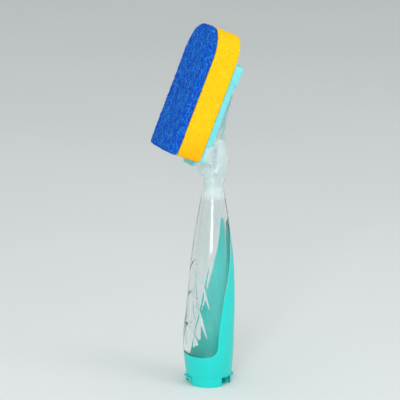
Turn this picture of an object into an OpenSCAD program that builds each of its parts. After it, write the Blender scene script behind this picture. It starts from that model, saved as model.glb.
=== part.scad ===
// Refillable dish wand: a clear hollow handle with a soft grip, a flip lid for filling
// and a slide-on scourer refill. Millimetres, +Z up, origin under the middle of the lid.
// It stands on its lid, and its scouring side faces -Y.

/* [Handle] */
// Half depth of the grip at its widest
grip_r = 19.5; // [18:0.1:21]
// Thickness of the soft grip sleeve
sleeve_t = 1.3; // [1:0.1:1.5]
// Inner radius of the soap tank at its mouth
tank_r = 14.6; // [13.5:0.1:14.8]
// Height where the sleeve's window starts
window_z = 24.4; // [22:0.2:28]
// Half angle of the window, from the front
window_angle = 90; // [80:1:96]

/* [Head] */
// Backward lean of the head
head_tilt = 22.3; // [18:0.1:26]
// Width of the pad
pad_w = 40; // [36:0.5:44]
// Length of the pad
pad_len = 98.8; // [90:0.2:104]
// Thickness of the scouring web
scourer_t = 7.4; // [5:0.1:9]
// Thickness of the foam
foam_t = 19.3; // [16:0.1:22]
// Length of the refill plate above the pad's lower end
plate_len = 78.6; // [74:0.2:82]
// Length of the foot that carries the refill
foot_len = 61.5; // [58:0.5:63]

/* [Lid] */
// Height of the flip lid
lid_h = 6.4; // [6:0.1:6.5]
// Radius of the filler mouth
mouth_r = 10; // [8:0.1:10.5]

/* [Hidden] */

// Colours as on the wand
c_clear = [0.85, 0.95, 0.96, 0.5];
c_aqua = [0.0, 0.87, 0.84];
c_pale = [0.47, 0.92, 0.94];
c_foam = [0.99, 0.82, 0.12];
c_web = [0.04, 0.31, 0.75];
c_silicone = [0.93, 0.95, 0.95];

// Clearance between pieces that slide or open, and a skin gap between fixed ones
gap = 0.3;
skin = 0.05;
arc_fn = 48;

// The head's own frame stands at the lower end of the seam between web and foam:
// Y runs back through the pad, Z along it
head_y = -33.4;
head_z = 186.3;

// Columns round each section of the tank: across the window, and round the back
window_cols = 28;
back_cols = 8;

// Sections of the outline: place along the wand, centre Y and Z, lean, half width,
// depth behind and in front of the centre, and squareness of the front
function head_station(s, n, l, a, tb, df, p) = [
    s,
    head_y + n * cos(head_tilt) + l * sin(head_tilt),
    head_z - n * sin(head_tilt) + l * cos(head_tilt),
    head_tilt, a, tb, df, p
];
OUTLINE = [
    [8, 0, 8, 0, 17.6, 17.6, 17.6, 2],
    [15, -0.1, 15, 0, 18.6, 18.3, 18.3, 2],
    [24, -0.2, 24, 0, 19.4, 19.1, 19.1, 2],
    [33, -0.2, 33, 0, 19.8, grip_r, grip_r, 2],
    [45, 0.2, 45, 0, 19.7, 19.35, 19.35, 2],
    [60, 1.4, 60, 0, 18.9, 18.6, 18.6, 2],
    [75, 2.1, 75, 0, 18.2, 17.9, 17.9, 2],
    [95, 2.7, 95, 0, 16.9, 16.6, 16.6, 2],
    [115, 3.1, 115, 0, 14.6, 14.2, 14.2, 2],
    [135, 3.4, 135, 0, 11.6, 11.2, 11.2, 2],
    [149, 3.5, 149, 3, 9.6, 8.9, 8.9, 2],
    [157, 3.3, 156.5, 8, 9.8, 8.3, 8.4, 2],
    [164, 3.3, 163.2, 15, 13.6, 9.1, 10.8, 2],
    head_station(171, 37.2, -3.4, 17.6, 14.2, 10.2, 2.3),
    head_station(175, 35.6, 0, 19.4, 15.2, 12.4, 3.2),
    head_station(178, 34, 3.4, 20, 15.9, 14.2, 5),
    head_station(183, 33, 8, 20, 15.6, 13.3, 6),
    head_station(187, 32, 12, 20, 13.6, 12.2, 6),
    head_station(192, 30.8, 17, 18.8, 11.2, 7.2, 5),
    head_station(197, 30, 22, 17, 9.1, 5.6, 4.5),
    head_station(205, 29, 30, 15.4, 7.4, 4.6, 4),
    head_station(214, 28, 39, 14.3, 6, 3.6, 4),
    head_station(224, 27.3, 49, 13.6, 5.2, 2.9, 4),
    head_station(231, 27, 56, 12.9, 5.2, 2.6, 3)
];
// Sections of the soap tank's inside, which runs straight up into the heel
CORE = [
    [10, 0, 10, 0, tank_r, tank_r, tank_r, 2],
    [30, 0, 30, 0, tank_r, tank_r, tank_r, 2],
    [55, 0.8, 55, 0, 14.4, 14.4, 14.4, 2],
    [75, 1.9, 75, 0, 14.1, 14, 14, 2],
    [95, 2.6, 95, 0, 13, 12.8, 12.8, 2],
    [115, 3.1, 115, 0, 10.8, 10.5, 10.5, 2],
    [135, 3.4, 135, 0, 7.8, 7.6, 7.6, 2],
    [150, 3.6, 150, 0, 6, 5.7, 5.7, 2],
    [165, 4.2, 165, 2, 6.4, 5, 5, 2],
    [180, 5, 180, 4, 5.8, 4.5, 4.5, 2],
    [192, 5.6, 192, 5, 4.6, 4, 4, 2]
];
// Half angle of the window by height
WINDOW = [
    [window_z, window_angle - 30], [window_z + 0.6, window_angle - 19],
    [window_z + 1.7, window_angle - 11], [window_z + 3.4, window_angle - 5],
    [window_z + 6.5, window_angle - 1], [36, window_angle], [46, window_angle + 1.5],
    [55, window_angle + 4], [63, window_angle + 8], [70, window_angle + 12],
    [81, window_angle + 21], [95, window_angle + 33], [110, window_angle + 47],
    [121, window_angle + 57], [126, window_angle + 64], [128.6, window_angle + 72],
    [129.6, window_angle + 79]
];
sleeve_bottom = 8;
sleeve_top = 129.6;

// Levels through the head, from the seam between web and foam
plate_front = foam_t + skin;
sheet_back = plate_front + 1.9;
paddle_front = sheet_back + gap;
paddle_back = paddle_front + 1.1;
lip_front = paddle_back + gap;
rail_back = lip_front + 1.05;
block_back = plate_front + 6.3;
// Half widths of the refill plate: its rails, its lower end in the heel, and the foot's web
rail_in = 15.3;
lip_in = 12.3;
heel_w = 18;
// Where the plate widens above the heel, and the slope of that shoulder
shoulder_l = 12.1;
shoulder_rise = 4.2;
outlet_l = 20;
outlet_r = 6;
detent_l = 52;

// Height of the weld between tank and neck
seam_z = 146;

// Levels at the filler end
deck_z = 6.75;
spout_z = 5.2;
spout_r = 12.2;
collar_top = 9.6;
tank_z = 10;
hinge_y = 16.3;
hinge_z = 6;
knuckle_r = 1.75;
stub_r = 0.9;
stub_fit = 0.05;
lid_r = 15.9;
// The fixed ring round the lid, on which the wand stands
ring_in = 16.2;
ring_out = 17.5;
// The ring runs from the front to ring_end, and its two back feet begin at foot_y
ring_end = 4;
foot_y = 13;

// Smooth curve through a table's rows, by its first column
function row_at(t, x, i = 0) =
    i >= len(t) - 2 || x <= t[i + 1][0] ? i : row_at(t, x, i + 1);
function slope(t, i) =
    let (a = max(i - 1, 0), b = min(i + 1, len(t) - 1))
    (t[b] - t[a]) / (t[b][0] - t[a][0]);
function smooth_at(t, x) =
    let (
        i = row_at(t, x), h = t[i + 1][0] - t[i][0], u = (x - t[i][0]) / h,
        u2 = u * u, u3 = u2 * u
    )
    t[i] * (2 * u3 - 3 * u2 + 1) + t[i + 1] * (3 * u2 - 2 * u3)
    + slope(t, i) * h * (u3 - 2 * u2 + u) + slope(t, i + 1) * h * (u3 - u2);
function window_at(z) = smooth_at(WINDOW, z)[1];

// A point of a section at an angle from the front, moved inwards by a wall
function section_point(s, ang, wall) =
    let (
        c = -cos(ang), back = c > 0,
        e = 2 / (back ? 2 : s[7]),
        x = sign(sin(ang)) * pow(abs(sin(ang)), e) * (s[4] - wall),
        y = sign(c) * pow(abs(c), e) * ((back ? s[5] : s[6]) - wall)
    )
    [x, s[1] + y * cos(s[3]), s[2] - y * sin(s[3])];

// Angles of a section's points: the window's columns, then the back's, all the way round
edge_step = 1.2;
function column_angles(w) = concat(
    [for (i = [0:window_cols]) -w + 2 * w * i / window_cols],
    [for (i = [0:back_cols]) w + edge_step + (360 - 2 * w - 2 * edge_step) * i / back_cols]
);
cols = window_cols + back_cols + 2;

// A ring of points with a wall for the window's columns and one for the back's
function ring(s, w, window_wall, back_wall) =
    let (a = column_angles(w))
    [for (i = [0:cols - 1]) section_point(s, a[i], i <= window_cols ? window_wall : back_wall)];

// A closed skin over a run of rings, with a point at each end
module skin_over(rings, first, last) {
    pts = concat([first], [for (r = rings) each r], [last]);
    top = len(pts) - 1;
    polyhedron(pts, concat(
        [for (j = [0:cols - 1]) [0, 1 + j, 1 + (j + 1) % cols]],
        [for (k = [0:len(rings) - 2], j = [0:cols - 1])
            let (a = 1 + k * cols + j, b = 1 + k * cols + (j + 1) % cols)
            each [[a, b + cols, b], [a, a + cols, b + cols]]],
        [for (j = [0:cols - 1]) [top, top - cols + (j + 1) % cols, top - cols + j]]
    ));
}

// Places things in the head's frame
module at_head() {
    translate([0, head_y, head_z]) rotate([-head_tilt, 0, 0]) children();
}
// A cylinder that runs back through the head from n0 to n1, at height l on the pad
module through_head(r, n0, n1, l) {
    translate([0, n0, l]) rotate([-90, 0, 0]) cylinder(r = r, h = n1 - n0, $fn = arc_fn);
}
// A flat bar in the head's plane, from the level l0 to l1, with rounded corners
module head_bar(w, l0, l1, n0, n1, r = 2) {
    translate([0, n1, 0]) rotate([90, 0, 0]) linear_extrude(n1 - n0) union() {
        translate([-w / 2 + r, l0]) square([w - 2 * r, l1 - l0]);
        translate([-w / 2, l0 + r]) square([w, l1 - l0 - 2 * r]);
        for (x = [-1, 1], l = [l0 + r, l1 - r])
            translate([x * (w / 2 - r), l]) circle(r = r, $fn = arc_fn);
    }
}

function head_point(n, l) = let (h = head_station(0, n, l, 0, 0, 0, 0)) [0, h[1], h[2]];
function outline_rings(list, w, window_wall, back_wall) =
    [for (s = list) ring(smooth_at(OUTLINE, s), w, window_wall, back_wall)];

// Heights of the rings: below the window, beside it, and up the neck, heel and foot
below_window = [tank_z, 13, 17, 21, window_z - 0.2];
beside_window = [window_z, window_z + 0.6, window_z + 1.7, window_z + 3.4, window_z + 6.5,
    35, 41, 48, 55, 62, 70, 80, 90, 100, 110, 117, 122, 126, 128.6, sleeve_top];
above_window = [[129.9, 169], [133, 158], [137, 147], [142, 137], [147, 130]];
up_the_neck = concat([for (s = [151:4:167]) s], [for (s = [170:3:200]) s],
    [205, 211, 218, 225, 231]);
// Heights of the rings inside, from the top down, and where their columns lie
inside_rings = [192, 180, 165, 150, 135, 115, 105, 95, 85, 75, 65, 55, 42, 30, 20, tank_z];
inside_columns = [[tank_z, window_angle - 30], [55, 94], [95, 123], [115, 128]];

// The clear moulding's skin; the sleeve's recess keeps the window flush
module clear_skin() {
    skin_over(
        concat(
            [for (z = inside_rings)
                ring(smooth_at(CORE, z), lookup(z, inside_columns), 0, 0)],
            outline_rings(below_window, window_at(window_z), sleeve_t, sleeve_t),
            [for (z = beside_window) ring(smooth_at(OUTLINE, z), window_at(z), 0, sleeve_t)],
            [for (r = above_window) ring(smooth_at(OUTLINE, r[0]), r[1], 0, 0)],
            outline_rings(up_the_neck, 128, 0, 0)
        ),
        [0, 5.8, 194.5], head_point(27, foot_len)
    );
}
// All that lies below a height, or above it
module slab(z0, z1) {
    translate([-50, -50, z0]) cube([100, 100, z1 - z0]);
}

// Soap tank, with walls thick enough to grip
module tank() {
    color(c_clear) intersection() {
        clear_skin();
        slab(0, seam_z - skin / 2);
    }
}

// Neck, heel and foot, welded to the tank's upper end
module head() {
    color(c_clear) difference() {
        union() {
            difference() {
                intersection() {
                    clear_skin();
                    slab(seam_z + skin / 2, 300);
                }
                at_head() plate_pocket();
            }
            at_head() foot_rail();
        }
        at_head() {
            through_head(outlet_r, paddle_front - 1, paddle_front + 3.8, outlet_l);
            through_head(3, paddle_front, 33, outlet_l);
            through_head(1.6, paddle_front - 1, paddle_back - 0.3, detent_l);
        }
    }
}

// Room for the plate's lower end between the heel's cheeks, and for its shoulder above them
module plate_pocket() {
    head_bar(2 * (heel_w + gap), -30, 26, 10, rail_back + gap, 1);
    head_side(-pad_w, pad_w, [
        [10, shoulder_l - gap - 8], [plate_front - 1, shoulder_l - gap - 0.8],
        [rail_back + gap, shoulder_l - gap + shoulder_rise], [rail_back + gap, 80], [10, 80]
    ]);
}

// The foot's flat paddle, which the plate's rails run on
module foot_rail() {
    head_bar(2 * (rail_in - gap), 4, foot_len, paddle_front, paddle_back, 6);
    head_bar(2 * (lip_in - gap), 4, foot_len - 2, paddle_back - 0.1, rail_back + 1.5, 5);
}

// Soft grip: a band round the lower end, and a spine up the back that narrows to a tip
sleeve_front = 16;
sleeve_back = 30;
sleeve_cols = sleeve_front + sleeve_back;
function sleeve_angle(w, i) = i <= sleeve_front
    ? -w + 2 * w * i / sleeve_front
    : w + (360 - 2 * w) * (i - sleeve_front) / sleeve_back;
module grip_sleeve() {
    low = [sleeve_bottom, 9, 12, 16, 20, window_z - 0.25];
    levels = concat(low, beside_window);
    n = sleeve_cols;
    edge = len(low) - 1;
    last = len(levels) - 1;
    function at(k, i, inside) = (inside ? n * len(levels) : 0) + k * n + i % n;
    function quad(a, b, c, d) = [[a, b, c], [a, c, d]];
    function open(k, i) = k > edge && i < sleeve_front;
    pts = [for (inside = [0, 1], z = levels, i = [0:n - 1])
        let (w = window_at(max(z, window_z)) + 1.2)
        section_point(smooth_at(OUTLINE, z), sleeve_angle(w, i), inside * (sleeve_t - skin))];
    color(c_aqua) polyhedron(pts, concat(
        [for (k = [0:last - 1], i = [0:n - 1]) if (!open(k + 1, i)) each concat(
            quad(at(k, i, 0), at(k + 1, i, 0), at(k + 1, i + 1, 0), at(k, i + 1, 0)),
            quad(at(k, i, 1), at(k, i + 1, 1), at(k + 1, i + 1, 1), at(k + 1, i, 1)))],
        [for (i = [0:n - 1]) each
            quad(at(0, i, 0), at(0, i + 1, 0), at(0, i + 1, 1), at(0, i, 1))],
        [for (i = [0:n - 1]) let (k = i < sleeve_front ? edge : last) each
            quad(at(k, i, 0), at(k, i, 1), at(k, i + 1, 1), at(k, i + 1, 0))],
        [for (k = [edge:last - 1]) each concat(
            quad(at(k, 0, 0), at(k + 1, 0, 0), at(k + 1, 0, 1), at(k, 0, 1)),
            quad(at(k, sleeve_front, 0), at(k, sleeve_front, 1),
                at(k + 1, sleeve_front, 1), at(k + 1, sleeve_front, 0)))]
    ));
}

// A turned shape from a profile of radius and height
module turned(profile) {
    rotate_extrude($fn = 96) polygon(profile);
}

// Plug in the tank's open end, with the filler mouth, the ring that the wand stands on,
// the hinge's ears and the lid's catch
module filler_collar() {
    color(c_aqua) difference() {
        union() {
            difference() {
                turned([
                    [mouth_r, spout_z], [spout_r - 0.6, spout_z], [spout_r, spout_z + 0.6],
                    [spout_r, deck_z], [ring_in, deck_z], [ring_in, 0.15], [ring_in + 0.15, 0],
                    [ring_out - 0.5, 0], [ring_out - 0.15, 0.15], [ring_out, 0.6],
                    [ring_out, sleeve_bottom - skin], [16, sleeve_bottom - skin],
                    [16, collar_top], [13.8, collar_top], [13.8, 16], [13, 17],
                    [mouth_r + 1.8, 17], [mouth_r, 15.4]
                ]);
                translate([-20, ring_end, -1]) cube([40, 20, deck_z + 1]);
                translate([-6.5, -20, -1]) cube([13, 8, deck_z + 1]);
                translate([-4, hinge_y - 2.1, 0]) cube([8, 10, sleeve_bottom]);
            }
            for (x = [-1, 1]) translate([x * 5.25, 0, 0]) hinge_ear(2.5);
            intersection() {
                turned([[12, 0], [ring_out - 0.15, 0], [ring_out, 0.6], [ring_out, deck_z + 0.2],
                    [12, deck_z + 0.2]]);
                for (x = [-12, 7.6]) translate([x, foot_y, 0]) cube([4.4, 8, deck_z + 0.2]);
            }
            translate([-3, -13.5, 4.4]) cube([6, 2, 2.6]);
            translate([-3, -13.4, 4.9]) rotate([0, 90, 0]) cylinder(r = 0.35, h = 6, $fn = 24);
        }
        translate([-10, hinge_y, hinge_z]) rotate([0, 90, 0])
            cylinder(r = stub_r + stub_fit, h = 20, $fn = arc_fn);
    }
}
module hinge_ear(w) {
    translate([-w / 2, hinge_y, hinge_z]) rotate([0, 90, 0])
        cylinder(r = knuckle_r, h = w, $fn = arc_fn);
    translate([-w / 2, 13, hinge_z - 0.4]) cube([w, hinge_y - 13, deck_z - hinge_z + 0.6]);
}

// Flat ring that seals the collar's flange against the tank's rim
module collar_gasket() {
    color(c_silicone) turned([
        [14.3, collar_top + skin], [15.9, collar_top + skin], [15.9, tank_z - skin],
        [14.3, tank_z - skin]
    ]);
}

// Flip lid, flush in the ring, with a plug for the mouth, a thumb tab and the hinge's stubs
module lid() {
    wall = 1.6;
    corner = 1.5;
    color(c_aqua) {
        difference() {
            union() {
                turned(concat(
                    [[0, 0]],
                    [for (a = [0:15:90]) [lid_r - corner * (1 - sin(a)), corner * (1 - cos(a))]],
                    [[lid_r, lid_h], [lid_r - wall, lid_h], [lid_r - wall, wall + 1.5],
                        [lid_r - wall - 1.5, wall], [0, wall]]
                ));
                translate([-5.5, -18.5, lid_h - 2.2]) thumb_tab(11, 4, 2.2);
            }
            translate([-20, 3, wall]) cube([40, 20, lid_h]);
            translate([-20, 10.5, -1]) cube([16.2, 10, lid_h]);
            translate([3.8, 10.5, -1]) cube([16.2, 10, lid_h]);
        }
        turned([[6.4, wall - 0.2], [8.6, wall - 0.2], [8.6, 5.5], [8, 5.5], [8, 7.1],
            [8.6, 7.1], [8.2, 7.5], [6.4, 7.5]]);
        lid_knuckle();
        translate([-3, -lid_r + wall + 0.05, 5.75]) rotate([0, 90, 0])
            cylinder(r = 0.35, h = 6, $fn = 24);
    }
}
module thumb_tab(w, d, h) {
    translate([0, 0, h]) rotate([0, 90, 0]) linear_extrude(w)
        polygon([[0, 0.5], [0.5, 0], [h - 0.8, 0], [h, 0.8], [h, d], [0, d]]);
}
module lid_knuckle() {
    translate([-3.7, hinge_y, hinge_z]) rotate([0, 90, 0])
        cylinder(r = knuckle_r, h = 7.4, $fn = arc_fn);
    translate([-6.4, hinge_y, hinge_z]) rotate([0, 90, 0])
        cylinder(r = stub_r, h = 12.8, $fn = arc_fn);
    translate([-3.7, 12.4, hinge_z - knuckle_r - 0.9]) cube([7.4, hinge_y - 12.4, 1.6]);
    translate([-3.7, 12.4, 0.8]) cube([7.4, 1.6, hinge_z - knuckle_r - 0.8]);
}

// Ring in the plug's groove that seals the mouth
module lid_seal() {
    color(c_silicone) turned([
        [8.05, 5.55], [9.5, 5.55], [mouth_r - 0.1, 5.95], [mouth_r - 0.1, 6.6],
        [9.5, 7.05], [8.05, 7.05]
    ]);
}

// Slit disc that lets soap through when the pad is pressed
module outlet_valve() {
    back = paddle_front + 3.8 - skin;
    color(c_silicone) at_head() difference() {
        union() {
            through_head(outlet_r - 0.1, back - 1.6, back, outlet_l);
            intersection() {
                translate([0, back + 1.2, outlet_l]) sphere(r = 4.4, $fn = arc_fn);
                through_head(3.4, back - 3.1, back - 1, outlet_l);
            }
        }
        translate([0, back + 1.6, outlet_l]) sphere(r = 3.9, $fn = arc_fn);
        for (a = [0, 90]) translate([0, back - 2, outlet_l]) rotate([0, a, 0])
            cube([0.15, 4, 4], center = true);
    }
}
module valve_ring() {
    front = paddle_front + 0.3;
    color(c_pale) at_head() difference() {
        through_head(outlet_r - skin, front, front + 1.8, outlet_l);
        through_head(3.6, front - 1, front + 3, outlet_l);
    }
}

// Refill plate: a sheet under the foam, two rails with lips, an end block and a pull tab
module refill_plate() {
    wide = [
        [plate_front, shoulder_l], [rail_back, shoulder_l + shoulder_rise],
        [rail_back, 64], [plate_front, 64]
    ];
    color(c_pale) at_head() difference() {
        union() {
            head_bar(2 * heel_w, 0, 20, plate_front, sheet_back, 1.5);
            head_bar(20, -4.8, 5, plate_front, sheet_back, 2.5);
            intersection() {
                head_side(-pad_w / 2, pad_w / 2, wide);
                head_bar(pad_w, 0, 80, plate_front - 1, sheet_back, 1);
            }
            for (m = [0, 1]) mirror([m, 0, 0]) {
                head_side(rail_in, pad_w / 2, wide);
                head_side(rail_in, heel_w, [
                    [sheet_back - 0.1, 1], [rail_back, 1], [rail_back, 20], [sheet_back - 0.1, 20]
                ]);
                head_side(lip_in, rail_in + 0.1, [
                    [lip_front, 4], [rail_back, 4], [rail_back, 64], [lip_front, 64]
                ]);
            }
            end_block();
            translate([0, sheet_back - 0.8, detent_l]) sphere(r = 1, $fn = 24);
        }
        through_head(5, plate_front - 1, sheet_back + 1, outlet_l);
    }
}
module end_block() {
    difference() {
        head_bar(pad_w, foot_len + gap, plate_len, plate_front, block_back, 3.5);
        for (m = [0, 1]) mirror([m, 0, 0]) translate([9, 0, 0])
            head_bar(15, foot_len + 2.5, plate_len - 2, sheet_back, block_back + 1, 1.5);
    }
}

// Half width of the pad along its length: straight sides, then a blunt rounded tip
tip_l = 74;
function pad_half(l, w) =
    l < tip_l ? w : w * pow(max(0, 1 - pow((l - tip_l) / (pad_len - tip_l), 2.2)), 1 / 2.3);
module pad_plan(w, r = 3) {
    side = concat(
        [for (a = [0:15:90]) [w - r + r * sin(a), r - r * cos(a)]],
        [for (a = [0:6:90]) let (l = tip_l + (pad_len - tip_l) * sin(a)) [pad_half(l, w), l]]
    );
    polygon(concat(side, [for (i = [2:len(side)]) let (p = side[len(side) - i]) [-p[0], p[1]]]));
}
module pad_slab(n0, n1) {
    at_head() translate([0, n1, 0]) rotate([90, 0, 0]) linear_extrude(n1 - n0)
        pad_plan(pad_w / 2);
}
module foam_pad() {
    color(c_foam) pad_slab(skin, foam_t);
}
module scourer_pad() {
    color(c_web) pad_slab(-scourer_t, 0);
}

// An outline in the head's side plane (back, up), swept across from x0 to x1
module head_side(x0, x1, outline) {
    translate([x0, 0, 0]) rotate([90, 0, 90]) linear_extrude(x1 - x0) polygon(outline);
}

tank();
head();
grip_sleeve();
filler_collar();
collar_gasket();
lid();
lid_seal();
outlet_valve();
valve_ring();
refill_plate();
foam_pad();
scourer_pad();
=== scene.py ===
"""Refillable dish wand: clear soap handle, aqua grip, and a foam and web refill on a tilted head.

Every shape is a surface worked out with numpy on a grid. Its lengths are millimetres, as in the
part's own drawing, and MM turns them into metres when a mesh is made.
"""

import math

import bpy
import numpy as np
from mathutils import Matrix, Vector


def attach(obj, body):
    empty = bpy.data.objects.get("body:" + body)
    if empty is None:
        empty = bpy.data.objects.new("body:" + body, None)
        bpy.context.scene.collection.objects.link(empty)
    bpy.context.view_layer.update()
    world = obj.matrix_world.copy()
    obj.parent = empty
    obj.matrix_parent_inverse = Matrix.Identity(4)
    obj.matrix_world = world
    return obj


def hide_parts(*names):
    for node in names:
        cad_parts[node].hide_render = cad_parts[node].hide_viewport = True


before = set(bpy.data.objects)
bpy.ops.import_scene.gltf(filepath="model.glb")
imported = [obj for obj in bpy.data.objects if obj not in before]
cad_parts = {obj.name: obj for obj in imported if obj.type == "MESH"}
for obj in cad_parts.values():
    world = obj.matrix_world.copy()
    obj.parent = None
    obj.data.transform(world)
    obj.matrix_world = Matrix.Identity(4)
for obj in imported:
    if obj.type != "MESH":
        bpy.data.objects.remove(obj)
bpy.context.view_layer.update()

MM = 0.001
STRAND_SEED = 7

# The head's own frame: its foot on the seam between web and foam, leaning back by HEAD_TILT
HEAD_TILT = math.radians(22.3)
HEAD_Y, HEAD_Z = -33.4, 186.3

# Wall of the soft grip, the heights between which it lies, and the foot of its window
SLEEVE_T = 1.3
SLEEVE_BOTTOM, SLEEVE_TOP = 8.0, 129.6
WINDOW_Z = 24.4
# Where the head is welded to the tank
WELD_Z = 146.0

# The pad in the head's frame: half width, length, where its tip begins, and its layers
PAD_HALF, PAD_LEN, PAD_TIP_L = 20.0, 98.8, 74.0
SCOURER_T, FOAM_T = 7.4, 19.3
# How far the clear foot reaches up the pad
FOOT_LEN = 61.5


def head_section(s, n, l, half, back, front, square):
    """A section of the head, given in the head's frame: n back through the pad, l along it."""
    y = HEAD_Y + n * math.cos(HEAD_TILT) + l * math.sin(HEAD_TILT)
    z = HEAD_Z - n * math.sin(HEAD_TILT) + l * math.cos(HEAD_TILT)
    return [s, y, z, math.degrees(HEAD_TILT), half, back, front, square]


# Sections of the handle's outline: place along the wand, centre Y and Z, lean in degrees,
# half width, depth behind and in front of the centre, and squareness of the front
OUTLINE = np.array([
    [8, 0, 8, 0, 17.6, 17.6, 17.6, 2],
    [15, -0.1, 15, 0, 18.6, 18.3, 18.3, 2],
    [24, -0.2, 24, 0, 19.4, 19.1, 19.1, 2],
    [33, -0.2, 33, 0, 19.8, 19.5, 19.5, 2],
    [45, 0.2, 45, 0, 19.7, 19.35, 19.35, 2],
    [60, 1.4, 60, 0, 18.9, 18.6, 18.6, 2],
    [75, 2.1, 75, 0, 18.2, 17.9, 17.9, 2],
    [95, 2.7, 95, 0, 16.9, 16.6, 16.6, 2],
    [115, 3.1, 115, 0, 14.6, 14.2, 14.2, 2],
    [135, 3.4, 135, 0, 11.6, 11.2, 11.2, 2],
    [149, 3.5, 149, 3, 9.6, 8.9, 8.9, 2],
    [157, 3.3, 156.5, 8, 9.8, 8.3, 8.4, 2],
    [164, 3.3, 163.2, 15, 13.6, 9.1, 10.8, 2],
    head_section(171, 37.2, -3.4, 17.6, 14.2, 10.2, 2.3),
    head_section(175, 35.6, 0, 19.4, 15.2, 12.4, 3.2),
    head_section(178, 34, 3.4, 20, 15.9, 14.2, 7),
    head_section(183, 33, 8, 20, 15.6, 13.3, 10),
    head_section(187, 32, 12, 20, 13.6, 12.2, 10),
    head_section(192, 30.8, 17, 18.8, 11.2, 7.2, 5),
    head_section(197, 30, 22, 17, 9.1, 5.6, 4.5),
    head_section(205, 29, 30, 15.4, 7.4, 4.6, 4),
    head_section(214, 28, 39, 14.3, 6, 3.6, 4),
    head_section(224, 27.3, 49, 13.6, 5.2, 2.9, 4),
    head_section(231, 27, 56, 12.9, 5.2, 2.6, 3),
])
# Sections of the soap space inside
CORE = np.array([
    [10, 0, 10, 0, 14.6, 14.6, 14.6, 2],
    [30, 0, 30, 0, 14.6, 14.6, 14.6, 2],
    [55, 0.8, 55, 0, 14.4, 14.4, 14.4, 2],
    [75, 1.9, 75, 0, 14.1, 14, 14, 2],
    [95, 2.6, 95, 0, 13, 12.8, 12.8, 2],
    [115, 3.1, 115, 0, 10.8, 10.5, 10.5, 2],
    [135, 3.4, 135, 0, 7.8, 7.6, 7.6, 2],
    [150, 3.6, 150, 0, 6, 5.7, 5.7, 2],
    [165, 4.2, 165, 2, 6.4, 5, 5, 2],
    [180, 5, 180, 4, 5.8, 4.5, 4.5, 2],
    [192, 5.6, 192, 5, 4.6, 4, 4, 2],
])
# Half angle of the grip's window, from the front, by height
WINDOW = np.array([
    [24.4, 60], [25, 71], [26.1, 79], [27.8, 85], [30.9, 89], [36, 90], [46, 91.5], [55, 94],
    [63, 98], [70, 102], [81, 111], [95, 123], [110, 137], [121, 147], [126, 154],
    [128.6, 162], [129.6, 169],
])
# Angles of the tank's columns above the sleeve's tip, where they spread out evenly again
ABOVE_TIP = np.array([[129.6, 169], [133, 158], [137, 147], [142, 137], [147, 130], [152, 128]])
# The same for the columns inside, so that none twists
CORE_COLUMNS = np.array([[10, 60], [55, 94], [95, 123], [115, 128]])


def smooth_rows(table, x):
    """Rows of a table at the places x: cubic curves through its rows, by the first column."""
    x = np.atleast_1d(np.asarray(x, float))
    key = table[:, 0]
    slope = np.gradient(table, axis=0) / np.gradient(key)[:, None]
    slope[0] = (table[1] - table[0]) / (key[1] - key[0])
    slope[-1] = (table[-1] - table[-2]) / (key[-1] - key[-2])
    i = np.clip(np.searchsorted(key, x, side="left") - 1, 0, len(key) - 2)
    h = (key[i + 1] - key[i])[:, None]
    u = ((x - key[i]) / h[:, 0])[:, None]
    return (
        table[i] * (2 * u**3 - 3 * u**2 + 1)
        + table[i + 1] * (3 * u**2 - 2 * u**3)
        + slope[i] * h * (u**3 - 2 * u**2 + u)
        + slope[i + 1] * h * (u**3 - u**2)
    )


def section_points(rows, angle, wall):
    """Points of squared ellipses, (rows, columns, 3), at angles in degrees from the front.

    Behind the centre a section is an ellipse. In front its exponent is the row's squareness.
    Each point moves in by the wall, and the whole section leans by the row's own angle.
    """
    a = np.radians(angle)
    c = -np.cos(a)
    s = np.sin(a)
    back = c > 0
    e = 2 / np.where(back, 2, rows[:, 7:8])
    depth = np.where(back, rows[:, 5:6], rows[:, 6:7]) - wall
    x = np.sign(s) * np.abs(s) ** e * (rows[:, 4:5] - wall)
    y = np.sign(c) * np.abs(c) ** e * depth
    lean = np.radians(rows[:, 3:4])
    return np.stack([x, rows[:, 1:2] + y * np.cos(lean), rows[:, 2:3] - y * np.sin(lean)], -1)


def from_head(points):
    """Turns points (across, back, along) of the head's frame into the wand's frame."""
    x, n, l = np.moveaxis(np.asarray(points, float), -1, 0)
    c, s = math.cos(HEAD_TILT), math.sin(HEAD_TILT)
    return np.stack([x, HEAD_Y + n * c + l * s, HEAD_Z - n * s + l * c], -1)


def grid_quads(rows, cols, closed=True, start=0):
    """Faces of a grid of rows by columns; a closed grid joins its last column to its first."""
    last = cols if closed else cols - 1
    r, c = np.meshgrid(np.arange(rows - 1), np.arange(last), indexing="ij")
    a = start + r * cols + c
    b = start + r * cols + (c + 1) % cols
    return np.stack([a, b, b + cols, a + cols], -1).reshape(-1, 4)


def new_mesh(name, points, faces, smooth=True):
    """A mesh object from points in millimetres and lists of faces, at the origin."""
    mesh = bpy.data.meshes.new(name)
    polys = [tuple(f) for group in faces for f in np.asarray(group).tolist()]
    mesh.from_pydata((np.asarray(points).reshape(-1, 3) * MM).tolist(), [], polys)
    mesh.validate()
    mesh.polygons.foreach_set("use_smooth", [smooth] * len(mesh.polygons))
    mesh.update()
    obj = bpy.data.objects.new(name, mesh)
    bpy.context.scene.collection.objects.link(obj)
    return obj


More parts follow.
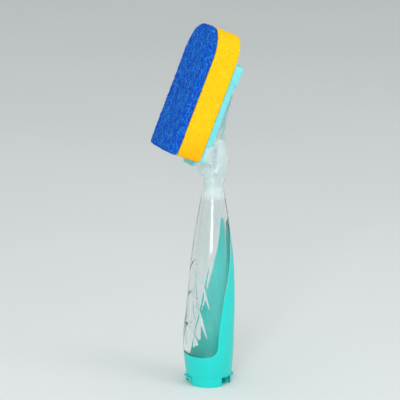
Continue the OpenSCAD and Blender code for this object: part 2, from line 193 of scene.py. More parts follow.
def capped_skin(name, rings, first, last):
    """A closed skin over rings of points, drawn together to one point at each end.

    The skin's volume is the sum of a third of each face's corner dotted with its area. Where
    that comes out negative, the faces are turned over.
    """
    rows, cols, _ = rings.shape
    points = np.concatenate([[first], rings.reshape(-1, 3), [last]])
    j = np.arange(cols)
    k = (j + 1) % cols
    end = len(points) - 1
    quads = grid_quads(rows, cols, start=1)
    faces = [
        quads,
        np.stack([np.zeros_like(j), 1 + k, 1 + j], -1),
        np.stack([np.full_like(j, end), end - cols + j, end - cols + k], -1),
    ]
    a, b, c, d = (points[quads[:, i]] - points.mean(0) for i in range(4))
    if np.sum(a * np.cross(c - a, d - b)) < 0:
        faces = [group[:, ::-1] for group in faces]
    return new_mesh(name, points, faces)


def lattice_noise(points, size, seed=0):
    """Smooth noise from -1 to 1: random values on a cubic lattice of a size, blended between."""
    p = np.asarray(points, float) / size
    base = np.floor(p)
    f = p - base
    f = f * f * (3 - 2 * f)
    total = np.zeros(p.shape[:-1])
    for corner in np.ndindex(2, 2, 2):
        q = base + corner
        h = np.sin(q @ np.array([127.1, 311.7, 74.7]) + seed * 17.3) * 43758.5453
        w = np.prod(np.where(corner, f, 1 - f), axis=-1)
        total += w * (2 * (h - np.floor(h)) - 1)
    return total


def modifier(obj, kind, **values):
    """Adds a modifier with its values."""
    m = obj.modifiers.new(kind.title(), kind)
    for key, value in values.items():
        setattr(m, key, value)
    return m


def apply_modifiers(obj):
    """Makes the modified shape the object's own mesh."""
    graph = bpy.context.evaluated_depsgraph_get()
    mesh = bpy.data.meshes.new_from_object(obj.evaluated_get(graph))
    obj.modifiers.clear()
    old = obj.data
    obj.data = mesh
    bpy.data.meshes.remove(old)


def cut(obj, tool, operation="DIFFERENCE"):
    """Cuts a tool out of a piece, or joins it on, and throws the tool away."""
    modifier(obj, "BOOLEAN", object=tool, operation=operation, solver="EXACT")
    apply_modifiers(obj)
    bpy.data.objects.remove(tool)


def rounded_outline(half, low, high, radius, steps=8):
    """An outline (across, along) of a bar with rounded corners, counter-clockwise."""
    a = np.radians(np.linspace(0, 90, steps))
    corners = [(1, 1, 0), (-1, 1, 90), (-1, -1, 180), (1, -1, 270)]
    out = []
    for sx, sl, turn in corners:
        cx = sx * (half - radius)
        cl = (high - radius) if sl > 0 else (low + radius)
        t = a + math.radians(turn)
        out.append(np.stack([cx + radius * np.cos(t), cl + radius * np.sin(t)], -1))
    return np.concatenate(out)


def head_prism(name, outline, n0, n1):
    """A flat-ended solid of an outline (across, along) in the head, from depth n0 to n1."""
    count = len(outline)
    rings = [np.stack([outline[:, 0], np.full(count, n), outline[:, 1]], -1) for n in (n0, n1)]
    points = from_head(np.concatenate(rings))
    j = np.arange(count)
    return new_mesh(
        name, points,
        [grid_quads(2, count)[:, ::-1], j[None, :], (count + j[::-1])[None, :]],
        smooth=False,
    )


def head_side_prism(name, outline, half):
    """A solid of an outline (back, along) in the head's side plane, across its whole width."""
    count = len(outline)
    rings = [np.stack([np.full(count, x), outline[:, 0], outline[:, 1]], -1) for x in (-half, half)]
    j = np.arange(count)
    return new_mesh(
        name, from_head(np.concatenate(rings)),
        [grid_quads(2, count), j[::-1][None, :], (count + j)[None, :]],
        smooth=False,
    )


def circle(radius, l, count=64):
    """A circle (across, along) round the middle of the head at the height l."""
    t = np.linspace(0, 2 * math.pi, count, endpoint=False)
    return np.stack([radius * np.cos(t), l + radius * np.sin(t)], -1)


# The clear handle

WINDOW_COLS, BACK_COLS = 200, 44
EDGE_STEP = 1.2
CORE_ROWS = 90
# Runs of rows up the handle: from, to and step, with closer rows at the window's corners and tip
BASE_RUN = (10, WINDOW_Z - 1, 1.6)
SIDE_RUN = (29.6, 127, 0.6)
NECK_RUN = (130.6, 152, 1.2)
HEAD_RUN = (152.6, 231.1, 1.0)
CORNER_ROWS = WINDOW_Z + np.array([0, 0.3, 0.6, 1.1, 1.7, 2.5, 3.4, 4.6])
TIP_ROWS = np.array([127.4, 128, 128.6, 129.1, SLEEVE_TOP])

# The grip pattern: arches up the front, two slanting flutes, and the grooves' own size
ARCH_TOPS = (50.0, 74.0, 98.0)
ARCH_DROP = 0.0078
FLUTE_ANGLE, FLUTE_RISE, FLUTE_Z = 30.0, 0.5, 42.0
FLUTE_SHARE = 0.7
GROOVE_DEPTH, GROOVE_WIDTH = 0.48, 0.9
MM_PER_DEGREE = 0.33
# Where the grooves fade, and over how much: the lowest and highest heights, and the widest angle
FADE_LOW, FADE_HIGH, FADE_SIDE = (WINDOW_Z + 3, 6), (104, 14), (88, 12)

# The head's cuts, each in the head's frame: the heel's pocket and the shoulder above it
CUT_FRONT, POCKET_FLOOR = 10, 24.3
POCKET = (18.3, -30, 26, 1.0)
SHOULDER = np.array([
    [CUT_FRONT, 3.8], [18.35, 11.0], [POCKET_FLOOR, 16.0], [POCKET_FLOOR, 80], [CUT_FRONT, 80],
])
# Paddle for the plate's rails and the web behind it: half width, ends and corner radius
PADDLE = (15, 4, FOOT_LEN, 6)
PADDLE_FRONT, PADDLE_BACK = 21.55, 22.65
WEB = (12, 4.4, FOOT_LEN - 2, 5)
WEB_BACK = POCKET_FLOOR + 1.2
# The soap's outlet: its height, the seat of the slit disc, and the passage behind that
OUTLET_L = 20.0
SEAT_R, SEAT_FRONT, SEAT_BACK = 6.0, 20, PADDLE_FRONT + 3.8
PASSAGE_R, PASSAGE_FRONT, PASSAGE_BACK = 3, 21, 33


def column_angles(w):
    """Angles of the columns: evenly over the window, a short step, then evenly round the back."""
    w = np.asarray(w, float)[:, None]
    front = -w + 2 * w * np.linspace(0, 1, WINDOW_COLS + 1)
    back = w + EDGE_STEP + (360 - 2 * w - 2 * EDGE_STEP) * np.linspace(0, 1, BACK_COLS + 1)
    return np.concatenate([front, back], 1)


def grip_grooves(z, angle):
    """Depth of the grip pattern: arches stacked up the front, crossed by two slanting flutes.

    An arch lies where z = top - drop * angle^2, and a flute where the angle rises with z.
    Each groove is a bell curve of the distance from its line.
    """
    side = (angle + 180) % 360 - 180
    depth = np.zeros(np.broadcast(z, side).shape)
    for top in ARCH_TOPS:
        slope = 2 * ARCH_DROP * np.abs(side) / MM_PER_DEGREE
        gap = (z - top + ARCH_DROP * side**2) / np.sqrt(1 + slope**2)
        depth = np.maximum(depth, np.exp(-((gap / GROOVE_WIDTH) ** 2)))
    flute = (np.abs(side) - FLUTE_ANGLE - FLUTE_RISE * (z - FLUTE_Z)) * MM_PER_DEGREE
    depth = np.maximum(depth, FLUTE_SHARE * np.exp(-((flute / GROOVE_WIDTH) ** 2)))
    low = np.clip((z - FADE_LOW[0]) / FADE_LOW[1], 0, 1)
    high = np.clip((FADE_HIGH[0] - z) / FADE_HIGH[1], 0, 1)
    beside = np.clip((FADE_SIDE[0] - np.abs(side)) / FADE_SIDE[1], 0, 1)
    return GROOVE_DEPTH * depth * low * high * beside


def tank_skin():
    """The clear skin: its soap space from the top down, then its outside from the base up.

    The outside lies a sleeve's wall lower wherever the grip covers it, so the grip sits flush.
    """
    core_s = np.linspace(CORE[-1, 0], CORE[0, 0], CORE_ROWS)
    core_w = np.interp(core_s, CORE_COLUMNS[:, 0], CORE_COLUMNS[:, 1])
    core = section_points(smooth_rows(CORE, core_s), column_angles(core_w), 0)
    s = np.concatenate([
        np.arange(*BASE_RUN), [WINDOW_Z - 0.2], CORNER_ROWS, np.arange(*SIDE_RUN), TIP_ROWS,
        [SLEEVE_TOP + 0.3], np.arange(*NECK_RUN), np.arange(*HEAD_RUN),
    ])
    w = smooth_rows(WINDOW, np.clip(s, WINDOW_Z, SLEEVE_TOP))[:, 1]
    tip = s > SLEEVE_TOP
    w[tip] = np.interp(s[tip], ABOVE_TIP[:, 0], ABOVE_TIP[:, 1])
    angle = column_angles(w)
    in_window = (np.arange(angle.shape[1]) <= WINDOW_COLS)[None, :]
    recessed = (s < WINDOW_Z)[:, None] | (~in_window & ~tip[:, None])
    wall = np.where(recessed, SLEEVE_T, grip_grooves(s[:, None], angle))
    outer = section_points(smooth_rows(OUTLINE, s), angle, wall)
    core_tip = [0, 5.8, 194.5]
    foot_tip = from_head([0, 27.3, FOOT_LEN])
    return capped_skin("clear_handle", np.concatenate([core, outer]), core_tip, foot_tip)


def clear_handle():
    """The clear moulding, with the heel's pocket, the foot's paddle and the outlet."""
    handle = tank_skin()
    cut(handle, head_prism("pocket", rounded_outline(*POCKET), CUT_FRONT, POCKET_FLOOR))
    cut(handle, head_side_prism("shoulder", SHOULDER, 30))
    paddle = head_prism("paddle", rounded_outline(*PADDLE), PADDLE_FRONT, PADDLE_BACK)
    cut(handle, paddle, "UNION")
    web = head_prism("web", rounded_outline(*WEB), PADDLE_BACK - 0.1, WEB_BACK)
    cut(handle, web, "UNION")
    cut(handle, head_prism("seat", circle(SEAT_R, OUTLET_L), SEAT_FRONT, SEAT_BACK))
    cut(handle, head_prism("passage", circle(PASSAGE_R, OUTLET_L), PASSAGE_FRONT, PASSAGE_BACK))
    return handle


def shade_by_angle(obj, degrees=35):
    """Smooth shading, but with every edge sharper than an angle kept crisp."""
    obj.data.polygons.foreach_set("use_smooth", [True] * len(obj.data.polygons))
    obj.data.set_sharp_from_angle(angle=math.radians(degrees))


# The soft grip

GRIP_FRONT, GRIP_BACK = 60, 150
GRIP_BASE_RUN = (SLEEVE_BOTTOM, WINDOW_Z - 0.6, 1.2)
GRIP_SIDE_RUN = (29.8, 127, 1.2)
# Gap that keeps the grip's inner face off the tank, and the radius of its edges
GRIP_GAP, GRIP_EDGE = 0.05, 0.35


def grip_sleeve():
    """The grip's outer face, a full band and a narrowing spine, given its wall and round edges.

    The face is the handle's own outline over (height, angle), without the cells in the window.
    """
    low = np.append(np.arange(*GRIP_BASE_RUN), WINDOW_Z - 0.25)
    high = np.concatenate([CORNER_ROWS, np.arange(*GRIP_SIDE_RUN), TIP_ROWS])
    z = np.concatenate([low, high])
    w = smooth_rows(WINDOW, np.clip(z, WINDOW_Z, SLEEVE_TOP))[:, 1:2] + EDGE_STEP
    front = -w + 2 * w * np.arange(GRIP_FRONT) / GRIP_FRONT
    back = w + (360 - 2 * w) * np.arange(GRIP_BACK) / GRIP_BACK
    angle = np.concatenate([front, back], 1)
    points = section_points(smooth_rows(OUTLINE, z), angle, 0)
    quads = grid_quads(len(z), angle.shape[1])
    row, col = np.divmod(np.arange(len(quads)), angle.shape[1])
    open_quads = (row >= len(low) - 1) & (col < GRIP_FRONT)
    used = quads[~open_quads]
    keep, index = np.unique(used, return_inverse=True)
    grip = new_mesh("soft_grip", points.reshape(-1, 3)[keep], [index.reshape(-1, 4)])
    modifier(grip, "SOLIDIFY", thickness=(SLEEVE_T - GRIP_GAP) * MM, offset=-1, use_rim=True)
    modifier(grip, "BEVEL", width=GRIP_EDGE * MM, segments=3, limit_method="ANGLE",
             angle_limit=math.radians(50))
    apply_modifiers(grip)
    shade_by_angle(grip, 50)
    return grip


# The pads

PAD_STEPS = 300
PAD_CORNER = 3.0
# Powers of the tip's superellipse, along and across
TIP_ALONG, TIP_ACROSS = 2.2, 2.3
# Rings on a pad's flat face, how they crowd to the edge, and the top of the spine they shrink to
FACE_RINGS, FACE_CROWD, SPINE_TOP = 26, 1.2, 76


def tip_narrowing(l):
    """Share of the pad's half width at a height l: (1 - k^a)^(1/b), k running over the tip."""
    k = np.clip((l - PAD_TIP_L) / (PAD_LEN - PAD_TIP_L), 0, 1)
    return np.clip(1 - k**TIP_ALONG, 0, 1) ** (1 / TIP_ACROSS)


def pad_outline(count=PAD_STEPS):
    """Plan of the pad (across, along): straight sides and a blunt superelliptic tip.

    The points are spread evenly along the outline's length.
    """
    t = np.radians(np.linspace(0, 90, 12))
    foot = np.stack([PAD_HALF - PAD_CORNER * (1 - np.sin(t)), PAD_CORNER * (1 - np.cos(t))], -1)
    l = PAD_TIP_L + (PAD_LEN - PAD_TIP_L) * np.sin(np.radians(np.linspace(0, 90, 200)))
    tip = np.stack([PAD_HALF * tip_narrowing(l), l], -1)
    side = np.concatenate([foot, tip])
    line = np.concatenate([side, (side * [-1, 1])[::-1], side[:1]])
    run = np.concatenate([[0], np.cumsum(np.linalg.norm(np.diff(line, axis=0), axis=1))])
    at = np.linspace(0, run[-1], count, endpoint=False)
    return np.stack([np.interp(at, run, line[:, 0]), np.interp(at, run, line[:, 1])], -1)


def pad_slab(name, n0, n1, edge, side_rows):
    """A block of the pad's plan from depth n0 to n1.

    The profile runs from the middle of one face out over a rounded edge, down the side, and
    back to the middle of the other face. A face's rings shrink towards the plan's spine.
    """
    plan = pad_outline()
    spine = np.stack([np.zeros(len(plan)), np.clip(plan[:, 1], PAD_HALF, SPINE_TOP)], -1)
    inset = np.linspace(0, 1, FACE_RINGS)[:0:-1] ** FACE_CROWD
    turn = np.radians(np.linspace(0, 90, 6))
    sides = np.arange(1, side_rows) / side_rows
    profile = [(f, 0.0, n0) for f in inset]
    profile += [(0.0, edge * (1 - math.sin(a)), n0 + edge * (1 - math.cos(a))) for a in turn]
    profile += [(0.0, 0.0, n0 + edge + (n1 - n0 - 2 * edge) * k) for k in sides]
    profile += [(0.0, edge * (1 - math.cos(a)), n1 - edge * (1 - math.sin(a))) for a in turn]
    profile += [(f, 0.0, n1) for f in inset[::-1]]
    rings = []
    arm = plan - spine
    reach = np.linalg.norm(arm, axis=1, keepdims=True)
    for shrink, step, n in profile:
        base = edge if shrink else 0
        p = spine + arm * (1 - (base + step) / reach) * (1 - shrink)
        rings.append(np.stack([p[:, 0], np.full(len(p), n), p[:, 1]], -1))
    rings = from_head(rings)
    return capped_skin(name, rings, rings[0].mean(0), rings[-1].mean(0))


def roughen(obj, amount, size, seed):
    """Moves each point along its normal by two octaves of lattice noise."""
    count = len(obj.data.vertices)
    co = np.empty(count * 3)
    obj.data.vertices.foreach_get("co", co)
    normal = np.empty(count * 3)
    obj.data.vertices.foreach_get("normal", normal)
    p = co.reshape(-1, 3) / MM
    step = lattice_noise(p, size, seed) + 0.6 * lattice_noise(p, size * 0.45, seed + 1)
    p += normal.reshape(-1, 3) * (amount * step)[:, None]
    obj.data.vertices.foreach_set("co", (p * MM).ravel())
    obj.data.update()


STRANDS = 2600
# Share of the strands that lie on the web's face; the others lie round its edge
FACE_SHARE = 0.62
STRAND_STEPS, STRAND_SIDES = 6, 3


def face_strands(rng, count):
    """Middles, headings and outward directions of the strands on the web's face."""
    rows = rng.random((count, 4))
    l = 2 + rows[:, 0] * (PAD_LEN - 5)
    x = (2 * rows[:, 1] - 1) * (PAD_HALF - 1.5) * tip_narrowing(l)
    turn = (rows[:, 2] - 0.5) * 2.6 + np.where(rows[:, 3] < 0.5, 0.5, -0.4)
    middle = np.stack([x, np.full(count, -SCOURER_T), l], -1)
    way = np.stack([np.sin(turn), np.zeros(count), np.cos(turn)], -1)
    return middle, way, np.tile([0.0, -1.0, 0.0], (count, 1))


def edge_strands(rng, count):
    """The same for the strands on the web's edge, all the way round its plan."""
    plan = pad_outline(240)
    rows = rng.random((count, 3))
    i = (rows[:, 0] * len(plan)).astype(int)
    along = plan[(i + 1) % len(plan)] - plan[i]
    along /= np.linalg.norm(along, axis=1, keepdims=True)
    n = -SCOURER_T + 0.6 + rows[:, 1] * (SCOURER_T - 1.0)
    turn = (rows[:, 2] - 0.5) * 2.2
    flat = np.stack([along[:, 0], np.zeros(count), along[:, 1]], -1)
    way = flat * np.cos(turn)[:, None] + np.array([0, 1.0, 0]) * np.sin(turn)[:, None]
    middle = np.stack([plan[i, 0], n, plan[i, 1]], -1)
    return middle, way, np.stack([along[:, 1], np.zeros(count), -along[:, 0]], -1)


def loose_strands():
    """Short curved strands on the web's faces.

    Each is a thin tube along an arc: a middle on the web, a heading in the face's plane, a
    sideways bend, and a lift that rises and falls like a cosine. A strand that would reach
    past the pad's side is moved inwards.
    """
    rng = np.random.default_rng(STRAND_SEED)
    on_face = int(STRANDS * FACE_SHARE)
    roots = zip(face_strands(rng, on_face), edge_strands(rng, STRANDS - on_face))
    middle, way, out = (np.concatenate(pair) for pair in roots)
    across = np.cross(out, way)
    form = rng.random((STRANDS, 4))
    long = np.arange(STRANDS) < on_face
    length = np.where(long, 3.2 + 4.0 * form[:, 0], 1.6 + 1.6 * form[:, 0])
    bend = (form[:, 1] - 0.5) * 0.9
    lift = 0.05 + 0.45 * form[:, 2]
    t = np.linspace(-0.5, 0.5, STRAND_STEPS)
    path = (
        middle[:, None] + way[:, None] * (length[:, None] * t)[..., None]
        + across[:, None] * (length[:, None] * bend[:, None] * (t**2 - 0.1))[..., None]
        + out[:, None] * (lift[:, None] * np.cos(math.pi * t) - 0.12)[..., None]
    )
    past = np.clip(np.abs(path[..., 0]).max(1) - (PAD_HALF + 0.3), 0, None)
    path[..., 0] -= (np.sign(middle[:, 0]) * past)[:, None]
    radius = 0.1 + 0.08 * form[:, 3]
    a = np.linspace(0, 2 * math.pi, STRAND_SIDES, endpoint=False)
    taper = np.ones(STRAND_STEPS)
    taper[[0, -1]] = 0.35
    tube = (
        path[:, :, None]
        + (radius[:, None] * taper)[:, :, None, None]
        * (across[:, None, None] * np.cos(a)[:, None] + out[:, None, None] * np.sin(a)[:, None])
    )
    size = STRAND_STEPS * STRAND_SIDES
    base = np.arange(STRANDS)[:, None, None] * size
    quads = (grid_quads(STRAND_STEPS, STRAND_SIDES)[None] + base).reshape(-1, 4)
    ends = np.stack([[0, 1, 2], [size - 1, size - 2, size - 3]])
    caps = (ends[None] + base).reshape(-1, 3)
    obj = new_mesh("loose_strands", from_head(tube.reshape(-1, 3)), [quads, caps])
    shade = obj.data.attributes.new("shade", "FLOAT", "POINT")
    shade.data.foreach_set("value", np.repeat(rng.random(STRANDS), size))
    return obj


# Materials

def put(tree, socket, value):
    """Links a socket to an input, or sets the input to a plain value."""
    if isinstance(value, bpy.types.NodeSocket):
        tree.links.new(value, socket)
    else:
        socket.default_value = value


def add(tree, kind, **values):
    """Adds a shader node. A value goes to the input of its name, or else to the node itself."""
    n = tree.nodes.new("ShaderNode" + kind)
    for key, value in values.items():
        socket = n.inputs.get(key.replace("_", " "))
        if socket is None:
            setattr(n, key, value)
        else:
            put(tree, socket, value)
    return n


def maths(tree, operation, *values):
    """The result of a Math node over sockets and numbers."""
    n = add(tree, "Math", operation=operation)
    for socket, value in zip(n.inputs, values):
        put(tree, socket, value)
    return n.outputs[0]


def ramp(tree, value, low=0.0, high=1.0, start=0.0, end=1.0):
    """A value spread from the range low to high over the range start to end, and kept in it."""
    return add(tree, "MapRange", Value=value, From_Min=low, From_Max=high, To_Min=start,
               To_Max=end).outputs[0]


def mixed(tree, factor, dark, light):
    """A colour between two colours or sockets, by a factor."""
    mix = add(tree, "Mix", data_type="RGBA")
    for socket, value in zip((mix.inputs[0], mix.inputs[6], mix.inputs[7]), (factor, dark, light)):
        put(tree, socket, value)
    return mix.outputs[2]


def linear(r, g, b):
    """A colour given as it looks on a screen, 0 to 255, as linear light."""
    c = np.array([r, g, b]) / 255
    out = np.where(c <= 0.04045, c / 12.92, ((c + 0.055) / 1.055) ** 2.4)
    return (*out.tolist(), 1.0)


def new_material(name, **inputs):
    """A Principled material; the inputs are set on the shader's own sockets."""
    m = bpy.data.materials.new(name)
    m.use_nodes = True
    shader = m.node_tree.nodes["Principled BSDF"]
    for key, value in inputs.items():
        shader.inputs[key.replace("_", " ")].default_value = value
    return m, m.node_tree, shader


def object_coordinates(tree, turn=(0, 0, 0), scale=(1, 1, 1)):
    """The object's own coordinates, turned and stretched."""
    place = add(tree, "TexCoord")
    return add(tree, "Mapping", Vector=place.outputs["Object"], Rotation=turn,
               Scale=scale).outputs[0]


def moulded_skin():
    """Group for moulded surfaces: a roughness that drifts, a slow shade, and a fine grain."""
    group = bpy.data.node_groups.new("moulded_skin", "ShaderNodeTree")
    face = group.interface
    inputs = {"Smooth": 0.2, "Rough": 0.4, "Patch": 60.0, "Grain": 2500.0, "Grain Depth": 0.1}
    for name, value in inputs.items():
        socket = face.new_socket(name, in_out="INPUT", socket_type="NodeSocketFloat")
        socket.default_value = value
    face.new_socket("Roughness", in_out="OUTPUT", socket_type="NodeSocketFloat")
    face.new_socket("Shade", in_out="OUTPUT", socket_type="NodeSocketFloat")
    face.new_socket("Normal", in_out="OUTPUT", socket_type="NodeSocketVector")
    start = group.nodes.new("NodeGroupInput").outputs
    end = group.nodes.new("NodeGroupOutput").inputs
    place = add(group, "TexCoord").outputs["Object"]
    patch = add(group, "TexNoise", Vector=place, Scale=start["Patch"], Detail=3.0).outputs[0]
    grain = add(group, "TexNoise", Vector=place, Scale=start["Grain"], Detail=2.0).outputs[0]
    bump = add(group, "Bump", Height=grain, Strength=start["Grain Depth"], Distance=0.0001)
    put(group, end["Roughness"], ramp(group, patch, 0.3, 0.7, start["Smooth"], start["Rough"]))
    put(group, end["Shade"], patch)
    put(group, end["Normal"], bump.outputs[0])
    return group


def moulded(name, dark, light, group, smooth, rough, patch, depth, **inputs):
    """A moulded plastic or rubber: two close shades, drifting roughness and a fine grain."""
    m, tree, shader = new_material(name, **inputs)
    skin = add(tree, "Group", node_tree=group)
    for key, value in (("Smooth", smooth), ("Rough", rough), ("Patch", patch),
                       ("Grain Depth", depth)):
        skin.inputs[key].default_value = value
    put(tree, shader.inputs["Roughness"], skin.outputs["Roughness"])
    put(tree, shader.inputs["Normal"], skin.outputs["Normal"])
    put(tree, shader.inputs["Base Color"],
        mixed(tree, skin.outputs["Shade"], linear(*dark), linear(*light)))
    return m


CLEAR_LOW, CLEAR_HIGH, CLEAR_SHADOW = (243, 251, 251), (254, 255, 255), (236, 250, 250)
# Heights in metres between which the haze of the solid head comes in
HAZE_FROM, HAZE_TO = 0.16, 0.182


def clear_plastic(name, clarity):
    """Clear moulding: flow lines along the handle, and a haze that comes in up the head.

    Shadow and diffuse rays pass almost straight through, so that light reaches the inside.
    """
    m, tree, shader = new_material(name, IOR=1.46, Transmission_Weight=clarity,
                                   Specular_IOR_Level=0.25)
    height = add(tree, "SeparateXYZ", Vector=object_coordinates(tree)).outputs["Z"]
    head = ramp(tree, height, HAZE_FROM, HAZE_TO)
    flow = add(tree, "TexNoise", Vector=object_coordinates(tree, scale=(1, 1, 0.1)),
               Scale=240.0, Detail=2.0, Distortion=0.3).outputs[0]
    streak = ramp(tree, flow, 0.42, 0.62)
    haze = ramp(tree, head, start=0.04, end=0.32)
    swell = ramp(tree, head, start=0.00003, end=0.00008)
    wave = add(tree, "Bump", Height=maths(tree, "MULTIPLY", flow, swell), Strength=1.0,
               Distance=1.0)
    put(tree, shader.inputs["Normal"], wave.outputs[0])
    put(tree, shader.inputs["Roughness"], maths(tree, "MULTIPLY_ADD", streak, 0.06, haze))
    put(tree, shader.inputs["Base Color"],
        mixed(tree, streak, linear(*CLEAR_LOW), linear(*CLEAR_HIGH)))
    path = add(tree, "LightPath").outputs
    passing = maths(tree, "MAXIMUM", path["Is Shadow Ray"], path["Is Diffuse Ray"])
    through = add(tree, "BsdfTransparent", Color=linear(*CLEAR_SHADOW))
    both = add(tree, "MixShader")
    for socket, value in zip(both.inputs, (passing, shader.outputs[0], through.outputs[0])):
        put(tree, socket, value)
    put(tree, tree.nodes["Material Output"].inputs["Surface"], both.outputs[0])
    return m


# The first colour is painted shade for the foam's pores; the other two are its tones at random
FOAM_PORE_SHADE, FOAM_SHADE, FOAM_LIGHT = (232, 156, 4), (248, 192, 8), (255, 208, 22)
# Colour of the painted shade at the foam's foot
FOAM_FOOT_SHADE = (250, 168, 10)
# Heights in metres between which the painted shade of the foam's foot, darker and more orange,
# fades
FOOT_SHADE_FROM, FOOT_SHADE_TO = 0.172, 0.205


def foam():
    """Open-cell foam: pores of two sizes, each lower than the web between them and darker with
    painted shade; painted shade also darkens the foot.
    """
    m, tree, shader = new_material("foam", Roughness=0.92, Subsurface_Weight=0.25,
                                   Subsurface_Scale=0.002, Subsurface_Radius=(1.0, 0.5, 0.1),
                                   Specular_IOR_Level=0.2)
    place = object_coordinates(tree)
    stir = add(tree, "TexNoise", Vector=place, Scale=420.0, Detail=3.0).outputs[0]
    large = add(tree, "TexVoronoi", Vector=place, Scale=900.0).outputs["Distance"]
    small = add(tree, "TexVoronoi", Vector=place, Scale=2300.0).outputs["Distance"]
    # Painted shade: the pores are darkened in colour, as well as lowered by the bump below
    pore_depth_and_shade = ramp(tree, maths(tree, "MULTIPLY", large, small), 0.0, 0.22)
    height = add(tree, "SeparateXYZ", Vector=place).outputs["Z"]
    tone = mixed(tree, stir, linear(*FOAM_SHADE), linear(*FOAM_LIGHT))
    # Painted shade: darker and more orange towards the foot
    foot_shaded = mixed(tree, ramp(tree, height, FOOT_SHADE_FROM, FOOT_SHADE_TO), linear(*FOAM_FOOT_SHADE), tone)
    put(tree, shader.inputs["Base Color"], mixed(tree, pore_depth_and_shade, linear(*FOAM_PORE_SHADE), foot_shaded))
    bump = add(tree, "Bump", Height=pore_depth_and_shade, Strength=0.35, Distance=0.0004)
    put(tree, shader.inputs["Normal"], bump.outputs[0])
    return m


# The darkest blue is painted shade in the crevices between the strands
WEB_CREVICE_SHADE, WEB_MID, WEB_LIGHT = (0, 62, 172), (2, 112, 232), (70, 176, 255)
STREAK_TURNS = (0.5, -0.35, 1.25)


def web_streaks():
    """Group for the scouring web: thin streaks that cross, and their height."""
    group = bpy.data.node_groups.new("web_streaks", "ShaderNodeTree")
    group.interface.new_socket("Streaks", in_out="OUTPUT", socket_type="NodeSocketFloat")
    group.interface.new_socket("Normal", in_out="OUTPUT", socket_type="NodeSocketVector")
    end = group.nodes.new("NodeGroupOutput").inputs
    lines = []
    for turn in STREAK_TURNS:
        place = object_coordinates(group, turn=(0.4, turn, 0.3 * turn), scale=(1, 1, 0.1))
        lines.append(add(group, "TexNoise", Vector=place, Scale=1100.0, Detail=2.0).outputs[0])
    most = maths(group, "MAXIMUM", maths(group, "MAXIMUM", lines[0], lines[1]), lines[2])
    # The mask also sets where the web's body gets painted shade: everywhere between the streaks
    mask = ramp(group, most, 0.52, 0.72)
    bump = add(group, "Bump", Height=mask, Strength=0.8, Distance=0.0005)
    put(group, end["Streaks"], mask)
    put(group, end["Normal"], bump.outputs[0])
    return group


def scouring_web(streaks):
    """The web's body: dark blue, painted shade in the crevices, between lighter strands."""
    m, tree, shader = new_material("scouring_web", Roughness=0.8, Specular_IOR_Level=0.15)
    weave = add(tree, "Group", node_tree=streaks).outputs
    # Painted shade: dark between the raised streaks
    put(tree, shader.inputs["Base Color"],
        mixed(tree, weave["Streaks"], linear(*WEB_CREVICE_SHADE), linear(*WEB_MID)))
    put(tree, shader.inputs["Normal"], weave["Normal"])
    return m


def web_strands(streaks):
    """Loose strands: each has its own shade, from the shade attribute."""
    m, tree, shader = new_material("web_strands", Roughness=0.6, Specular_IOR_Level=0.25)
    shade = add(tree, "Attribute", attribute_name="shade").outputs["Fac"]
    weave = add(tree, "Group", node_tree=streaks).outputs
    put(tree, shader.inputs["Base Color"],
        mixed(tree, shade, linear(*WEB_MID), linear(*WEB_LIGHT)))
    put(tree, shader.inputs["Normal"], weave["Normal"])
    return m


# Putting it together

def place_piece(obj, body, slot, mat, *nodes):
    """Puts a piece on its body, with its material, in place of the part's own nodes. The slot is
    not used.
    """
    obj.data.materials.clear()
    obj.data.materials.append(mat)
    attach(obj, body)
    if nodes:
        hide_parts(*nodes)


def cloud_above_weld(handle, mat):
    """Gives the faces above the weld a second material."""
    handle.data.materials.append(mat)
    centre = np.empty(len(handle.data.polygons) * 3)
    handle.data.polygons.foreach_get("center", centre)
    above = centre[2::3] > WELD_Z * MM
    handle.data.polygons.foreach_set("material_index", above.astype(np.int32))


def body_pieces(rubber):
    """The clear handle and the grip, on the body that holds still."""
    handle = clear_handle()
    shade_by_angle(handle, 40)
    clear = clear_plastic("clear_plastic", 1.0)
    place_piece(handle, "wand", "clear_plastic", clear, "tank", "head")
    cloud_above_weld(handle, clear_plastic("cloudy_plastic", 0.85))
    place_piece(grip_sleeve(), "wand", "grip", rubber, "grip_sleeve")


def refill_pieces():
    """The foam, the web and its strands, on the refill."""
    streaks = web_streaks()
    foam_block = pad_slab("foam_block", 0.05, FOAM_T, 0.8, 14)
    roughen(foam_block, 0.1, 3.0, 3)
    place_piece(foam_block, "refill", "foam", foam(), "foam_pad")

    web = pad_slab("scouring_web", -SCOURER_T, -0.02, 0.9, 7)
    roughen(web, 0.3, 2.6, 11)
    place_piece(web, "refill", "scouring_web", scouring_web(streaks), "scourer_pad")
    place_piece(loose_strands(), "refill", "scouring_web", web_strands(streaks))


def main():
    """Makes the finishes, the new pieces, and the materials of the part's own nodes."""
    skin = moulded_skin()
    rubber = moulded("grip_rubber", (0, 206, 199), (2, 220, 212), skin, 0.3, 0.44, 40, 0.25,
                     Coat_Weight=0.12, Coat_Roughness=0.3, Subsurface_Weight=0.8,
                     Subsurface_Scale=0.002, Subsurface_Radius=(0.12, 1.0, 0.95))
    aqua = moulded("aqua_plastic", (0, 200, 193), (2, 214, 206), skin, 0.2, 0.32, 60, 0.06)
    pale = moulded("pale_plastic", (112, 236, 242), (156, 246, 250), skin, 0.16, 0.3, 50, 0.06,
                   Transmission_Weight=0.3, Subsurface_Weight=0.2, Subsurface_Scale=0.002)
    milky = moulded("silicone", (214, 226, 226), (238, 244, 243), skin, 0.45, 0.6, 90, 0.1,
                    Subsurface_Weight=0.3, Subsurface_Scale=0.001)
    body_pieces(rubber)
    refill_pieces()
    finishes = {
        "filler_collar": aqua, "lid": aqua, "refill_plate": pale, "valve_ring": pale,
        "collar_gasket": milky, "lid_seal": milky, "outlet_valve": milky,
    }
    for node, mat in finishes.items():
        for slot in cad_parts[node].material_slots:
            slot.material = mat


# The studio

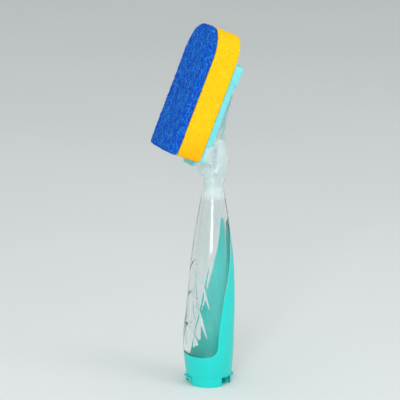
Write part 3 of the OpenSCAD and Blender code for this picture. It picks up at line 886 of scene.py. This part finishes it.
# Sweep of paper in millimetres: how far it runs before and behind the wand, its bend, height and
# half width, and its turn towards the camera in degrees
SWEEP_NEAR, SWEEP_FAR, SWEEP_BEND, SWEEP_TOP, SWEEP_HALF = -4000, 3000, 600, 3200, 4000.0
SWEEP_TURN = 68.2
PAPER_DARK, PAPER_LIGHT = (222, 228, 228), (230, 234, 234)

# Soft lights: name, place, size in metres and power in watts, all aimed at the wand's middle
LIGHTS = (
    ("key", (1.1, 0.9, 0.9), (0.7, 1.0), 5),
    ("fill", (1.25, -0.75, 0.6), (0.5, 1.1), 11),
    ("top", (0.1, 0.0, 1.5), (1.0, 1.0), 4),
)
MIDDLE = (0, 0, 0.15)
SKY = 0.6

# Camera: its place and the point it looks at in metres, and its lens in millimetres
CAMERA_AT, CAMERA_LOOK = (1.6196, -0.6547, 0.5944), (0.0247, -0.0171, 0.1521)
LENS, SENSOR = 213.6, 36


def backdrop():
    """Pale paper: a flat floor that bends up in a quarter circle behind the wand."""
    bend = np.linspace(0, math.pi / 2, 16)
    run = np.concatenate([
        [SWEEP_NEAR], SWEEP_FAR + SWEEP_BEND * np.sin(bend), [SWEEP_FAR + SWEEP_BEND],
    ])
    rise = np.concatenate([[0], SWEEP_BEND * (1 - np.cos(bend)), [SWEEP_TOP]])
    across = np.array([-SWEEP_HALF, SWEEP_HALF])
    turn = math.radians(SWEEP_TURN)
    c, s = math.cos(turn), math.sin(turn)
    points = np.stack([
        across[None, :] * c - run[:, None] * s,
        across[None, :] * s + run[:, None] * c,
        np.repeat(rise[:, None], 2, axis=1),
    ], -1)
    floor = new_mesh("studio_floor", points, [grid_quads(len(run), 2, closed=False)])
    mat, tree, shader = new_material("studio_paper", Roughness=0.95, Specular_IOR_Level=0.1)
    tone = add(tree, "TexNoise", Vector=object_coordinates(tree), Scale=3.0).outputs[0]
    put(tree, shader.inputs["Base Color"],
        mixed(tree, tone, linear(*PAPER_DARK), linear(*PAPER_LIGHT)))
    floor.data.materials.append(mat)


def aimed(name, data, place, target):
    """An object for a light or camera, at a place and facing a target."""
    obj = bpy.data.objects.new(name, data)
    bpy.context.scene.collection.objects.link(obj)
    obj.location = place
    obj.rotation_euler = (Vector(target) - Vector(place)).to_track_quat("-Z", "Y").to_euler()
    return obj


def lighting():
    """A white sky and the soft lights."""
    world = bpy.data.worlds.new("studio")
    bpy.context.scene.world = world
    world.use_nodes = True
    background = world.node_tree.nodes["Background"]
    background.inputs["Color"].default_value = (1, 1, 1, 1)
    background.inputs["Strength"].default_value = SKY
    for name, place, size, power in LIGHTS:
        lamp = bpy.data.lights.new(name, "AREA")
        lamp.shape = "RECTANGLE"
        lamp.size, lamp.size_y = size
        lamp.energy = power
        aimed(name, lamp, place, MIDDLE)
    bpy.context.scene.view_settings.view_transform = "Standard"


def camera():
    """The camera, where the photograph was taken from."""
    data = bpy.data.cameras.new("camera")
    data.lens = LENS
    data.sensor_width = SENSOR
    data.clip_start, data.clip_end = 0.01, 20
    bpy.context.scene.camera = aimed("camera", data, CAMERA_AT, CAMERA_LOOK)


backdrop()
lighting()
camera()
main()
